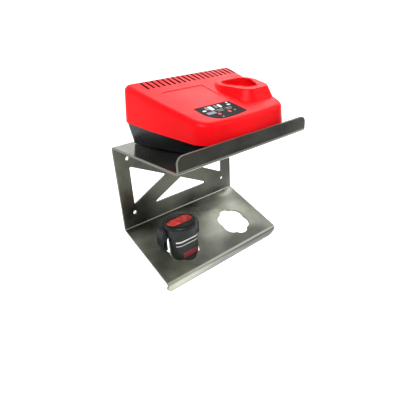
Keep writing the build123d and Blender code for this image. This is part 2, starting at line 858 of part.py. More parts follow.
with BuildPart() as charging_blades:
    with BuildSketch(well_level(base_floor + sleeve_wall)):
        with GridLocations(blade_spread, 0, 3, 1):
            Rectangle(contact_leaf, cell_pitch / 4)
    extrude(amount=well_floor_height + cell_pitch / 3 - base_floor - sleeve_wall)
    chamfer(charging_blades.edges().filter_by(Axis.Y).group_by(Axis.Z)[-1], length=contact_leaf / 3)

# Strain relief of the mains cord; the cord itself ends inside it
collar_start = 2 * gland_lean
with BuildPart() as cord_gland:
    with BuildSketch(gland_level(-charger_wall - collar_start - sleeve_wall)):
        Circle(gland_radius)
    extrude(amount=charger_wall + 2 * collar_start + 2 * sleeve_wall)
    with BuildSketch(gland_level(-charger_wall - collar_start - sleeve_wall), gland_level(collar_start)):
        Circle(gland_radius + sleeve_wall)
    extrude(amount=sleeve_wall)
    fillet(cord_gland.faces().sort_by(Axis.X)[-1].edges(), radius=sleeve_wall / 3)
    with BuildSketch(gland_level(0)):
        Circle(cord_radius)
    extrude(amount=gland_length, both=True, mode=Mode.SUBTRACT)

pieces = {
    "holder": holder,
    "charger_upper_housing": upper_housing,
    "charger_lower_housing": lower_housing,
    "charger_feet": charger_feet,
    "housing_screws": housing_screws,
    "status_panel": status_panel,
    "light_pipes": light_pipes,
    "indicator_lamps": indicator_lamps,
    "circuit_board": circuit_board,
    "board_screws": board_screws,
    "transformer": transformer,
    "main_capacitor": main_capacitor,
    "output_capacitors": output_capacitors,
    "heat_sink": heat_sink,
    "well_sleeve": well_sleeve,
    "contact_block": contact_block,
    "charging_blades": charging_blades,
    "cord_gland": cord_gland,
    "pack_case": pack_case,
    "pack_cap": pack_cap,
    "pack_insert": pack_insert,
    "pack_cells": pack_cells,
    "cell_straps": cell_straps,
    "pack_terminals": pack_terminals,
    "pack_board": pack_board,
    "left_latch": left_latch,
    "right_latch": right_latch,
    "latch_springs": latch_springs,
}
for name, piece in pieces.items():
    piece.part.label = name
    export_step(piece.part, "parts/" + name + ".step")
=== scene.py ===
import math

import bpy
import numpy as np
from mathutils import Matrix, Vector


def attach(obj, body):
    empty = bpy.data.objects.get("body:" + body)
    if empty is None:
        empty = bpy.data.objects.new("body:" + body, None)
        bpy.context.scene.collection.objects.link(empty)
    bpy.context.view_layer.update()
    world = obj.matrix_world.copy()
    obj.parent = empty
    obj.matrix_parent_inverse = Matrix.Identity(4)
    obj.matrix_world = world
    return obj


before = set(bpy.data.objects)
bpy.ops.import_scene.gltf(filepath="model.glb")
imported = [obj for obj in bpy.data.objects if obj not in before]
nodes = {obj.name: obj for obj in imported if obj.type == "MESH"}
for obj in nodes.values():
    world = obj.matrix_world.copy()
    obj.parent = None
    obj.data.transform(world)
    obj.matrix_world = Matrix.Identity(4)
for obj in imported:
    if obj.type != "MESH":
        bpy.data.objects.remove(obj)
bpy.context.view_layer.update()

# %% [markdown]
# # A bent-steel holder for a charger and slim battery packs
#
# The holder is one sheet of mill steel, folded four times. A red and black charger stands behind the lip of
# its upper shelf, and a battery pack hangs in a slot of the sloping lower shelf. The solids come from CAD
# and stay as they are. This file lights them, gives each one its finish, and adds the small surfaces that
# are easier to compute than to draft: beads round the mouths, ribs on the latches, bands on the stem and
# marks on the panel. We start with the tools that every later cell uses.

MM = 0.001

# %% [markdown]
# ## The camera
#
# A photograph fixes where its camera stood: parallel edges of the holder meet in vanishing points, and
# these give the angles. We look from the front left and from above, slightly rolled. The lens is given in
# pixels of a 400 pixel frame, so we turn it into millimetres on Blender's 36 mm sensor. The small shift
# puts the optical axis where the photograph has it, a little left of the middle.

# %% Camera
FRAME_PX = 400.0
SENSOR_MM = 36.0
focal_px = 362.3
centre_px = (185.4, 192.6)
eye = Vector((-287.9, -400.6, 188.45)) * MM
azimuth, elevation, roll = (math.radians(a) for a in (36.5, 24.73, 4.6))

look = Vector((math.sin(azimuth) * math.cos(elevation), math.cos(azimuth) * math.cos(elevation),
               -math.sin(elevation)))
right = look.cross(Vector((0, 0, 1))).normalized()
down = look.cross(right)
right_rolled = right * math.cos(roll) + down * math.sin(roll)
down_rolled = down * math.cos(roll) - right * math.sin(roll)

camera_data = bpy.data.cameras.new("photo_camera")
camera_data.sensor_width = SENSOR_MM
camera_data.lens = focal_px / FRAME_PX * SENSOR_MM
camera_data.shift_x = (FRAME_PX / 2 - centre_px[0]) / FRAME_PX
camera_data.shift_y = (centre_px[1] - FRAME_PX / 2) / FRAME_PX
camera_data.clip_start = 0.01
camera = bpy.data.objects.new("photo_camera", camera_data)
axes = Matrix((right_rolled, -down_rolled, -look)).transposed()
camera.matrix_world = Matrix.Translation(eye) @ axes.to_4x4()
bpy.context.scene.collection.objects.link(camera)
bpy.context.scene.camera = camera
print("lens %.2f mm, shift %.4f %.4f" % (camera_data.lens, camera_data.shift_x, camera_data.shift_y))

# %% [markdown]
# ## Surfaces from two parameters
#
# Every added piece is a grid of points: a function of u and v, computed as whole arrays. One helper turns
# such a grid into a mesh. Where the last row meets the first again the grid is closed, and a closed tube
# gets flat caps, so no piece has a hole in it.

# %% Grid helper
def surface(name, points, closed_u=False, closed_v=False, caps=False):
    """Mesh from points[i, j], or from several such grids, points[k, i, j].

    Each quad joins (i, j), (i+1, j), (i+1, j+1) and (i, j+1), wrapping round a closed direction. caps adds
    one flat face over the first and one over the last row of every tube that is closed in v.
    """
    grids = points if points.ndim == 4 else points[None]
    count, rows, columns = grids.shape[:3]
    index = np.arange(count * rows * columns).reshape(count, rows, columns)
    ends = [index[:, 0], index[:, -1, ::-1]]
    if closed_u:
        index = np.concatenate([index, index[:, :1]], axis=1)
    if closed_v:
        index = np.concatenate([index, index[:, :, :1]], axis=2)
    corners = [index[:, :-1, :-1], index[:, 1:, :-1], index[:, 1:, 1:], index[:, :-1, 1:]]
    faces = np.stack(corners, axis=-1).reshape(-1, 4).tolist()
    if caps:
        faces += np.concatenate(ends).tolist()
    mesh = bpy.data.meshes.new(name)
    mesh.from_pydata(points.reshape(-1, 3).tolist(), [], faces)
    mesh.update()
    piece = bpy.data.objects.new(name, mesh)
    bpy.context.scene.collection.objects.link(piece)
    return piece


print("grid helper ready")

# %% [markdown]
# A grid can come out inside out: its faces then point into the piece, and light and bump go wrong on it.
# Rather than think about the order of each grid's points, we measure. The volume inside a closed mesh is a
# sum over its faces, and it comes out negative when they point inwards.

# %% Faces outwards, and smooth shading
def outward(piece):
    """Turns the faces of a closed piece outwards.

    The signed volume must be positive: the sum of (face centre less mean centre) . normal * area.
    """
    mesh = piece.data
    centres = np.empty(len(mesh.polygons) * 3)
    normals = np.empty(len(mesh.polygons) * 3)
    areas = np.empty(len(mesh.polygons))
    mesh.polygons.foreach_get("center", centres)
    mesh.polygons.foreach_get("normal", normals)
    mesh.polygons.foreach_get("area", areas)
    centres = centres.reshape(-1, 3) - centres.reshape(-1, 3).mean(axis=0)
    volume = float((np.einsum("ij,ij->i", centres, normals.reshape(-1, 3)) * areas).sum())
    if volume < 0:
        mesh.flip_normals()
    return piece


def smooth(piece, angle):
    """Smooth shading, with edges sharper than the angle kept hard."""
    piece.data.shade_smooth()
    piece.data.set_sharp_from_angle(angle=math.radians(angle))
    return piece


def full_turn(steps):
    """Evenly spaced angles round a circle, without the last one, which would repeat the first."""
    return np.linspace(0, 2 * math.pi, steps, endpoint=False)


print("surface helpers ready, a turn of 4 steps:", full_turn(4).round(2))

# %% [markdown]
# ## Shared effects
#
# Some effects come back in many finishes, so each is a node group that is built once and placed with its
# own values. They read Object coordinates, which are metres here, so a noise scale of 1000 gives features
# of about one millimetre. The first is the fine grain that a mould leaves on plastic. It could be real
# geometry, but it is far smaller than a pixel, so it only bends the normal.

# %% Group helper and grain
BUMP_REACH = 0.0001


def new_group(name, inputs, outputs):
    """A shader node group with named sockets, and its input and output nodes."""
    group = bpy.data.node_groups.new(name, "ShaderNodeTree")
    for kind, label, value in inputs:
        socket = group.interface.new_socket(name=label, in_out="INPUT", socket_type=kind)
        socket.default_value = value
    for kind, label in outputs:
        group.interface.new_socket(name=label, in_out="OUTPUT", socket_type=kind)
    return group, group.nodes.new("NodeGroupInput"), group.nodes.new("NodeGroupOutput")


def build_grain():
    """Grain: a bump whose height is fractal noise of the position times a scale."""
    group, given, result = new_group(
        "moulded_grain",
        [("NodeSocketFloat", "Scale", 2500.0), ("NodeSocketFloat", "Depth", 0.15)],
        [("NodeSocketVector", "Normal")],
    )
    place = group.nodes.new("ShaderNodeTexCoord")
    noise = group.nodes.new("ShaderNodeTexNoise")
    noise.inputs["Detail"].default_value = 3.0
    bump = group.nodes.new("ShaderNodeBump")
    bump.inputs["Distance"].default_value = BUMP_REACH
    link = group.links.new
    link(place.outputs["Object"], noise.inputs["Vector"])
    link(given.outputs["Scale"], noise.inputs["Scale"])
    link(given.outputs["Depth"], bump.inputs["Strength"])
    link(noise.outputs["Fac"], bump.inputs["Height"])
    link(bump.outputs["Normal"], result.inputs["Normal"])
    return group


GRAIN = build_grain()
print("group:", GRAIN.name)

# %% [markdown]
# ### Clouds
#
# No moulding and no sheet has one even colour. A slow noise drifts between two near colours, and the same
# noise drives the roughness, so tone and gloss change together as they do on handled surfaces. Fractal noise
# stays near its middle value, so a ramp spreads it over the whole range first.

# %% Cloud
def build_cloud():
    """Cloud: two colours mixed, and two roughnesses mixed, by slow noise spread with a contrast ramp."""
    group, given, result = new_group(
        "slow_cloud",
        [("NodeSocketFloat", "Scale", 20.0), ("NodeSocketColor", "Low", (0.2, 0.2, 0.2, 1.0)),
         ("NodeSocketColor", "High", (0.3, 0.3, 0.3, 1.0)), ("NodeSocketFloat", "Rough Low", 0.3),
         ("NodeSocketFloat", "Rough High", 0.5)],
        [("NodeSocketColor", "Color"), ("NodeSocketFloat", "Roughness")],
    )
    place = group.nodes.new("ShaderNodeTexCoord")
    noise = group.nodes.new("ShaderNodeTexNoise")
    noise.inputs["Detail"].default_value = 5.0
    spread = group.nodes.new("ShaderNodeMapRange")
    spread.inputs["From Min"].default_value = 0.32
    spread.inputs["From Max"].default_value = 0.68
    mix = group.nodes.new("ShaderNodeMix")
    mix.data_type = "RGBA"
    rough = group.nodes.new("ShaderNodeMapRange")
    link = group.links.new
    link(place.outputs["Object"], noise.inputs["Vector"])
    link(given.outputs["Scale"], noise.inputs["Scale"])
    link(noise.outputs["Fac"], spread.inputs["Value"])
    link(spread.outputs["Result"], mix.inputs["Factor"])
    link(given.outputs["Low"], mix.inputs["A"])
    link(given.outputs["High"], mix.inputs["B"])
    link(spread.outputs["Result"], rough.inputs["Value"])
    link(given.outputs["Rough Low"], rough.inputs["To Min"])
    link(given.outputs["Rough High"], rough.inputs["To Max"])
    link(mix.outputs["Result"], result.inputs["Color"])
    link(rough.outputs["Result"], result.inputs["Roughness"])
    return group


CLOUD = build_cloud()
print("group:", CLOUD.name)

# %% [markdown]
# ### Streaks
#
# Rolled sheet and drawn metal carry fine lines in the direction in which they were worked. An ordinary noise
# turns into such lines when its coordinates are multiplied by very unequal numbers: a small one along the
# lines, large ones across them.

# %% Streaks
def build_streaks():
    """Streaks: a bump whose height is noise of the position times a stretch vector."""
    group, given, result = new_group(
        "rolled_streaks",
        [("NodeSocketVector", "Stretch", (20.0, 900.0, 900.0)), ("NodeSocketFloat", "Depth", 0.1)],
        [("NodeSocketVector", "Normal")],
    )
    place = group.nodes.new("ShaderNodeTexCoord")
    stretch = group.nodes.new("ShaderNodeVectorMath")
    stretch.operation = "MULTIPLY"
    noise = group.nodes.new("ShaderNodeTexNoise")
    noise.inputs["Scale"].default_value = 1.0
    noise.inputs["Detail"].default_value = 4.0
    bump = group.nodes.new("ShaderNodeBump")
    bump.inputs["Distance"].default_value = BUMP_REACH
    link = group.links.new
    link(place.outputs["Object"], stretch.inputs[0])
    link(given.outputs["Stretch"], stretch.inputs[1])
    link(stretch.outputs["Vector"], noise.inputs["Vector"])
    link(noise.outputs["Fac"], bump.inputs["Height"])
    link(given.outputs["Depth"], bump.inputs["Strength"])
    link(bump.outputs["Normal"], result.inputs["Normal"])
    return group


STREAKS = build_streaks()
print("group:", STREAKS.name)

# %% [markdown]
# ## Finishes
#
# A finish is a Principled shader fed by those groups. One helper makes a moulded plastic from its two
# nearby colours, its range of roughness and its grain. Another one makes a metal. What is the same all over
# a surface, such as the strength of a lacquer, is set on the shader itself.

# %% Helpers for plastics and metals
COAT_ROUGHNESS = 0.15


def start_material(name):
    """An empty node material with its Principled shader."""
    material = bpy.data.materials.new(name)
    material.use_nodes = True
    tree = material.node_tree
    return material, tree, tree.nodes["Principled BSDF"]


def group_node(tree, group, **values):
    """A placed group with its own values; underscores stand for spaces in socket names."""
    node = tree.nodes.new("ShaderNodeGroup")
    node.node_tree = group
    for label, value in values.items():
        node.inputs[label.replace("_", " ")].default_value = value
    return node


def clouded(tree, shader, low, high, rough, scale):
    """A cloud between two colours and two roughnesses, put on the shader."""
    clouds = group_node(tree, CLOUD, Scale=scale, Low=(*low, 1), High=(*high, 1), Rough_Low=rough[0],
                        Rough_High=rough[1])
    tree.links.new(clouds.outputs["Color"], shader.inputs["Base Color"])
    tree.links.new(clouds.outputs["Roughness"], shader.inputs["Roughness"])


def plastic(name, low, high, rough=(0.3, 0.4), grain=2500.0, depth=0.15, coat=0.0, cloud=25.0, gloss=0.5):
    """Moulded plastic: cloud into colour and roughness, grain into the normal."""
    material, tree, shader = start_material(name)
    clouded(tree, shader, low, high, rough, cloud)
    grains = group_node(tree, GRAIN, Scale=grain, Depth=depth)
    tree.links.new(grains.outputs["Normal"], shader.inputs["Normal"])
    shader.inputs["Specular IOR Level"].default_value = gloss
    shader.inputs["Coat Weight"].default_value = coat
    shader.inputs["Coat Roughness"].default_value = COAT_ROUGHNESS
    return material


def metal(name, low, high, rough, stretch=(20.0, 900.0, 900.0), depth=0.1, cloud=25.0):
    """Metal: cloud into colour and roughness, streaks into the normal."""
    material, tree, shader = start_material(name)
    shader.inputs["Metallic"].default_value = 1.0
    clouded(tree, shader, low, high, rough, cloud)
    streaks = group_node(tree, STREAKS, Stretch=stretch, Depth=depth)
    tree.links.new(streaks.outputs["Normal"], shader.inputs["Normal"])
    return material


def dress(material, *names):
    """Gives CAD nodes a finish in all their material slots."""
    for name in names:
        slots = nodes[name].material_slots
        if not slots:
            nodes[name].data.materials.append(material)
        for slot in slots:
            slot.material = material


print("material helpers ready")

# %% [markdown]
# ## Mill steel: the cut edges
#
# The holder was cut from its sheet by laser and then folded. The cut walls have none of the dark skin that
# the faces have, so they need a colour and a roughness of their own. Painting them by hand would be lost
# whenever the CAD changes. Instead a node group finds them: side edges face along X, the walls of windows
# and holes have no Y in their normal and lie close to the wall, and the lip's edge faces up at the very top.

# %% Cut edges
FACES_SIDEWAYS = 0.4
FACES_ALONG_WALL = 0.3
FACES_UP = 0.7


def calculator(group):
    """calc(operation, first, second): a Math node on sockets or plain numbers; it returns the result."""
    def calc(operation, first, second=None):
        node = group.nodes.new("ShaderNodeMath")
        node.operation = operation
        for slot, value in enumerate((first, second)):
            if isinstance(value, (int, float)):
                node.inputs[slot].default_value = value
            elif value is not None:
                group.links.new(value, node.inputs[slot])
        return node.outputs["Value"]
    return calc


def split_place(group):
    """The parts X, Y and Z of the surface's normal and of its Object coordinates, and the node of both."""
    place = group.nodes.new("ShaderNodeTexCoord")
    normal = group.nodes.new("ShaderNodeSeparateXYZ")
    spot = group.nodes.new("ShaderNodeSeparateXYZ")
    group.links.new(place.outputs["Normal"], normal.inputs[0])
    group.links.new(place.outputs["Object"], spot.inputs[0])
    return normal.outputs, spot.outputs, place


def build_cut_edges():
    """Cut edges: a mask that is 1 where the surface faces sideways, on the walls of the panel's windows and
    holes, and on the upper lip's top edge, and 0 on the rolled faces. Its inputs are metres."""
    group, given, result = new_group(
        "cut_edges",
        [("NodeSocketFloat", "Panel Depth", 0.004), ("NodeSocketFloat", "Window Reach", 0.052),
         ("NodeSocketFloat", "Lip Top", 0.0755)],
        [("NodeSocketFloat", "Mask")],
    )
    calc = calculator(group)
    normal, spot, _ = split_place(group)
    sideways = calc("GREATER_THAN", calc("ABSOLUTE", normal["X"]), FACES_SIDEWAYS)
    along = calc("LESS_THAN", calc("ABSOLUTE", normal["Y"]), FACES_ALONG_WALL)
    near_wall = calc("GREATER_THAN", calc("ADD", spot["Y"], given.outputs["Panel Depth"]), 0.0)
    in_window = calc("LESS_THAN", calc("ABSOLUTE", spot["Z"]), given.outputs["Window Reach"])
    window = calc("MULTIPLY", calc("MULTIPLY", along, near_wall), in_window)
    upward = calc("GREATER_THAN", normal["Z"], FACES_UP)
    on_lip = calc("MULTIPLY", upward, calc("GREATER_THAN", spot["Z"], given.outputs["Lip Top"]))
    mask = calc("MAXIMUM", calc("MAXIMUM", sideways, window), on_lip)
    group.links.new(mask, result.inputs["Mask"])
    return group


CUT_EDGES = build_cut_edges()
print("group:", CUT_EDGES.name)

# %% [markdown]
# ### The fold lines: a painted highlight
#
# Where the sheet was bent round the press tool, the round bend catches the light, and this highlight is
# painted on as a pale colour. The flat faces of the holder have only four directions, so a fold is simply
# where the normal matches none of them. Raising the match to a high power keeps the mask at 0 on the
# flats and lets it rise inside the bend.

# %% Fold lines, a painted highlight
LOWER_SLOPE = math.radians(22)
FLAT_DIRECTIONS = [
    (0, 1, 0), (0, 0, 1),
    (0, -math.sin(LOWER_SLOPE), math.cos(LOWER_SLOPE)), (0, math.cos(LOWER_SLOPE), math.sin(LOWER_SLOPE)),
]


def build_fold_lines():
    """Painted fold highlights: 1 less the highest of |normal . direction| ^ sharpness over the four
    flat directions.
    """
    group, given, result = new_group(
        "fold_highlights", [("NodeSocketFloat", "Sharpness", 24.0)], [("NodeSocketFloat", "Mask")])
    calc = calculator(group)
    place = group.nodes.new("ShaderNodeTexCoord")
    flattest = 0.0
    for direction in FLAT_DIRECTIONS:
        match = group.nodes.new("ShaderNodeVectorMath")
        match.operation = "DOT_PRODUCT"
        match.inputs[1].default_value = direction
        group.links.new(place.outputs["Normal"], match.inputs[0])
        near = calc("POWER", calc("ABSOLUTE", match.outputs["Value"]), given.outputs["Sharpness"])
        flattest = calc("MAXIMUM", flattest, near)
    group.links.new(calc("SUBTRACT", 1.0, flattest), result.inputs["Mask"])
    return group


FOLD_LINES = build_fold_lines()
print("group:", FOLD_LINES.name)

# %% [markdown]
# ### The mill scale, and painted light and shade
#
# Hot-rolled sheet comes with a thin skin of scale. It is darker where it is thick and paler where it has
# been rubbed or pickled, in patches as large as a hand. Noise alone would put them anywhere, so a short
# list sets where the sheet is lighter or darker. Two of these patches are painted shade: one darkens the
# upper lip, and one darkens the upper shelf round the charger like its shadow and dark reflection. The
# others make the lower shelf, the panel and the lower lip lighter or darker in places, partly as the
# scale's own unevenness and partly as painted light and shade. Each patch is an ellipsoid with a soft rim.

# %% Patches of scale and painted light and shade
PATCH_CORE = 0.45
SCALE_PATCHES = [   # middle and reach in mm, how much lighter or darker
    # lower shelf and panel: lighter and darker in places, partly scale and partly painted light and shade
    ((-80, -70, -86), (95, 75, 40), 1.1),
    ((-84, -14, -64), (34, 16, 14), -0.4),
    ((8, -50, -78), (36, 32, 30), 0.7),
    ((34, -36, -72), (14, 10, 10), 0.5),
    ((40, -19, -66), (40, 13, 15), -0.35),
    ((80, -7, -61), (22, 14, 8), 1.0),
    ((75, -42, -75), (22, 20, 20), 0.35),
    ((42, -92, -95), (60, 26, 16), -0.55),
    ((85, 0, -5), (55, 20, 60), -0.45),
    # painted shade: a darker upper lip, and a painted shadow on the upper shelf round the charger
    ((-30, -138, 68), (142, 30, 40), -0.68),
    ((0, -85, 60), (170, 62, 14), -0.75),
    # lower lip: darker at its right end, lighter at its left end
    ((90, -102, -107), (90, 16, 12), -0.85),
    ((-75, -102, -107), (80, 16, 12), 0.3),
]


def soft_patch(group, position, middle, reach):
    """1 near the middle, 0 beyond the reach: a smooth step of the length of (position - middle) / reach."""
    offset = group.nodes.new("ShaderNodeVectorMath")
    offset.operation = "SUBTRACT"
    offset.inputs[1].default_value = [value * MM for value in middle]
    scaled = group.nodes.new("ShaderNodeVectorMath")
    scaled.operation = "DIVIDE"
    scaled.inputs[1].default_value = [value * MM for value in reach]
    distance = group.nodes.new("ShaderNodeVectorMath")
    distance.operation = "LENGTH"
    fall = group.nodes.new("ShaderNodeMapRange")
    fall.interpolation_type = "SMOOTHSTEP"
    fall.inputs["From Min"].default_value = PATCH_CORE
    fall.inputs["From Max"].default_value = 1.0
    fall.inputs["To Min"].default_value = 1.0
    fall.inputs["To Max"].default_value = 0.0
    group.links.new(position, offset.inputs[0])
    group.links.new(offset.outputs["Vector"], scaled.inputs[0])
    group.links.new(scaled.outputs["Vector"], distance.inputs[0])
    group.links.new(distance.outputs["Value"], fall.inputs["Value"])
    return fall.outputs["Result"]


print("patches:", len(SCALE_PATCHES))

# %% [markdown]
# The scale also drifts between neutral grey and a weak olive, which a slow noise takes care of. Last, the
# upper shelf is smoother than the rest of the sheet and shows the base above it like a dull mirror, so the
# group also gives a mask for that polish.

# %% Mill scale and painted light and shade
DARKEST_TONE = 0.08
LIES_FLAT = 0.9


def build_mill_scale():
    """Scale and painted light and shade: a tone, 1 plus each patch times its strength; a tint between
    neutral and olive, by slow noise; and a polish mask, 1 on the upper shelf's top."""
    group, given, result = new_group(
        "scale_and_painted_light",
        [("NodeSocketFloat", "Strength", 1.0), ("NodeSocketFloat", "Shelf Height", 0.055),
         ("NodeSocketColor", "Olive", (1.01, 1.02, 0.89, 1.0))],
        [("NodeSocketFloat", "Tone"), ("NodeSocketFloat", "Polish"), ("NodeSocketColor", "Tint")],
    )
    calc = calculator(group)
    link = group.links.new
    normal, spot, place = split_place(group)
    noise = group.nodes.new("ShaderNodeTexNoise")
    noise.inputs["Scale"].default_value = 24.0
    noise.inputs["Detail"].default_value = 3.0
    spread = group.nodes.new("ShaderNodeMapRange")
    spread.inputs["From Min"].default_value = 0.42
    spread.inputs["From Max"].default_value = 0.60
    tint = group.nodes.new("ShaderNodeMix")
    tint.data_type = "RGBA"
    tint.inputs["A"].default_value = (1.0, 1.0, 1.0, 1.0)
    link(place.outputs["Object"], noise.inputs["Vector"])
    link(noise.outputs["Fac"], spread.inputs["Value"])
    link(spread.outputs["Result"], tint.inputs["Factor"])
    link(given.outputs["Olive"], tint.inputs["B"])
    link(tint.outputs["Result"], result.inputs["Tint"])
    change = 0.0
    for middle, reach, strength in SCALE_PATCHES:
        patch = soft_patch(group, place.outputs["Object"], middle, reach)
        change = calc("ADD", change, calc("MULTIPLY", patch, strength))
    tone = calc("ADD", 1.0, calc("MULTIPLY", change, given.outputs["Strength"]))
    link(calc("MAXIMUM", tone, DARKEST_TONE), result.inputs["Tone"])
    upward = calc("GREATER_THAN", normal["Z"], LIES_FLAT)
    high = calc("GREATER_THAN", spot["Z"], given.outputs["Shelf Height"])
    link(calc("MULTIPLY", upward, high), result.inputs["Polish"])
    return group


MILL_SCALE = build_mill_scale()
print("group:", MILL_SCALE.name)

# %% [markdown]
# ### The steel itself
#
# Now the layers go on: the sheet's clouds, the tone of scale and painted light and shade with the tint
# over it, the painted fold highlights, and last the cut edges, which have nothing of all that on them.
# Faint streaks follow the rolling direction, along X.
# A little less than full metal stands for the skin, which is no bare steel.

# %% Steel of the holder
# the pale colour painted along the folds as their highlight
FOLD_COLOUR = (0.42, 0.42, 0.36, 1)
CUT_COLOUR = (0.17, 0.17, 0.155, 1)
CUT_ROUGHNESS = 0.55
SHELF_ROUGHNESS = 0.12
SKIN_METALLIC = 0.86


def vector_step(tree, operation, first):
    """A Vector Math node with its first input linked."""
    node = tree.nodes.new("ShaderNodeVectorMath")
    node.operation = operation
    tree.links.new(first, node.inputs[0])
    return node


def layer(tree, kind, under, over, mask):
    """A Mix node: what lies under, then the value or colour over it, where the mask is 1."""
    node = tree.nodes.new("ShaderNodeMix")
    node.data_type = kind
    node.inputs["B"].default_value = over
    tree.links.new(under, node.inputs["A"])
    tree.links.new(mask, node.inputs["Factor"])
    return node.outputs["Result"]


def mill_steel():
    """Clouds times tone times tint, the tone holding scale and painted light and shade, then the painted
    fold highlights, then cut edges; polish and cut edges on the roughness.
    """
    material, tree, shader = start_material("mill_steel")
    shader.inputs["Metallic"].default_value = SKIN_METALLIC
    clouds = group_node(tree, CLOUD, Scale=18.0, Low=(0.070, 0.071, 0.062, 1), High=(0.185, 0.188, 0.163, 1),
                        Rough_Low=0.24, Rough_High=0.42)
    streaks = group_node(tree, STREAKS, Stretch=(8.0, 420.0, 420.0), Depth=0.12)
    folds = group_node(tree, FOLD_LINES)
    edges = group_node(tree, CUT_EDGES)
    # its tone is partly the scale's own and partly painted light and shade
    scale = group_node(tree, MILL_SCALE)
    link = tree.links.new
    toned = vector_step(tree, "SCALE", clouds.outputs["Color"])
    link(scale.outputs["Tone"], toned.inputs["Scale"])
    tinted = vector_step(tree, "MULTIPLY", toned.outputs["Vector"])
    link(scale.outputs["Tint"], tinted.inputs[1])
    # painted highlight along the folds, over the toned sheet
    rubbed = layer(tree, "RGBA", tinted.outputs["Vector"], FOLD_COLOUR, folds.outputs["Mask"])
    colour = layer(tree, "RGBA", rubbed, CUT_COLOUR, edges.outputs["Mask"])
    polished = layer(tree, "FLOAT", clouds.outputs["Roughness"], SHELF_ROUGHNESS, scale.outputs["Polish"])
    roughness = layer(tree, "FLOAT", polished, CUT_ROUGHNESS, edges.outputs["Mask"])
    link(colour, shader.inputs["Base Color"])
    link(roughness, shader.inputs["Roughness"])
    link(streaks.outputs["Normal"], shader.inputs["Normal"])
    return material


dress(mill_steel(), "holder")
print("holder dressed")

# %% [markdown]
# ## Moulded shells: the shaded vents
#
# The vents of the charger are narrow slots, and their walls lie in shade. In a bright red shell the light
# bounces between the walls and fills them with red, so that shade is painted on the walls themselves.
# They are found as the cut edges were: faces that look sideways, inside a box that holds only the vents.

# %% Vent shade
VENT_WALL_FACES = 0.8
# the painted shade of the vents' walls
VENT_COLOUR = (0.09, 0.002, 0.003, 1)


def build_vent_shade():
    """Vent shade: 1 on the vents' walls, which face sideways and lie in a box behind the deck, else 0."""
    group, given, result = new_group(
        "vent_shade",
        [("NodeSocketFloat", "Half Width", 0.0725), ("NodeSocketFloat", "Middle", 0.013),
         ("NodeSocketFloat", "Front", -0.038), ("NodeSocketFloat", "Bottom", 0.105)],
        [("NodeSocketFloat", "Mask")],
    )
    calc = calculator(group)
    normal, spot, _ = split_place(group)
    sideways = calc("GREATER_THAN", calc("ABSOLUTE", normal["X"]), VENT_WALL_FACES)
    from_middle = calc("ABSOLUTE", calc("SUBTRACT", spot["X"], given.outputs["Middle"]))
    inside = calc("LESS_THAN", from_middle, given.outputs["Half Width"])
    behind = calc("GREATER_THAN", spot["Y"], given.outputs["Front"])
    above = calc("GREATER_THAN", spot["Z"], given.outputs["Bottom"])
    mask = calc("MULTIPLY", calc("MULTIPLY", sideways, inside), calc("MULTIPLY", behind, above))
    group.links.new(mask, result.inputs["Mask"])
    return group


def shade_vents(material):
    """Paints the vent shade over the material's own colour, where the vent mask is 1."""
    tree = material.node_tree
    base = tree.nodes["Principled BSDF"].inputs["Base Color"]
    shade = group_node(tree, build_vent_shade())
    tree.links.new(layer(tree, "RGBA", base.links[0].from_socket, VENT_COLOUR, shade.outputs["Mask"]), base)
    return material


red_shell = shade_vents(plastic("red_shell", (0.74, 0.002, 0.005), (0.84, 0.004, 0.008), rough=(0.34, 0.44),
                                grain=3000.0, depth=0.12, gloss=0.1))
dress(red_shell, "charger_upper_housing", "well_sleeve")
print("red shell dressed")

# %% [markdown]
# ### The dark plastics
#
# The charger's base and the battery pack are black, the base a little glossier than the pack. The feet and
# the cord's gland are rubber, dull and nearly black. The status panel is a dark plate that mirrors almost
# nothing, and the inlay of the cap is a mottled red.

# %% Plastics and rubber
black_base = plastic("black_base", (0.004, 0.005, 0.006), (0.007, 0.009, 0.010), rough=(0.24, 0.32),
                     grain=2200.0, depth=0.3, gloss=0.32)
pack_black = plastic("pack_black", (0.005, 0.007, 0.006), (0.010, 0.013, 0.012), rough=(0.34, 0.44),
                     grain=2600.0, depth=0.2, gloss=0.29)
red_insert = plastic("red_insert", (0.36, 0.006, 0.006), (0.86, 0.06, 0.04), rough=(0.22, 0.36),
                     grain=1800.0, depth=0.1, cloud=150.0, gloss=0.45)
rubber = plastic("soft_rubber", (0.02, 0.02, 0.02), (0.035, 0.035, 0.035), rough=(0.65, 0.8),
                 grain=1500.0, depth=0.35)
gloss_panel = plastic("gloss_panel", (0.006, 0.006, 0.007), (0.010, 0.010, 0.012), rough=(0.30, 0.38),
                      grain=400.0, depth=0.02, gloss=0.02)
dress(black_base, "charger_lower_housing", "contact_block")
dress(rubber, "charger_feet", "cord_gland")
dress(gloss_panel, "status_panel")
dress(pack_black, "pack_case", "pack_cap", "left_latch", "right_latch")
dress(red_insert, "pack_insert")
print("shells dressed")

# %% [markdown]
# ### Metals and small parts inside
#
# Inside are plated contacts, nickel straps, zinc screws, a drawn aluminium heat sink, sleeved capacitors
# and cells, a taped transformer and green boards. Most of them never show, but a library part is also
# opened and cut, so each has its own finish. The sleeves and the clear lamps are shiny, so they get a coat.

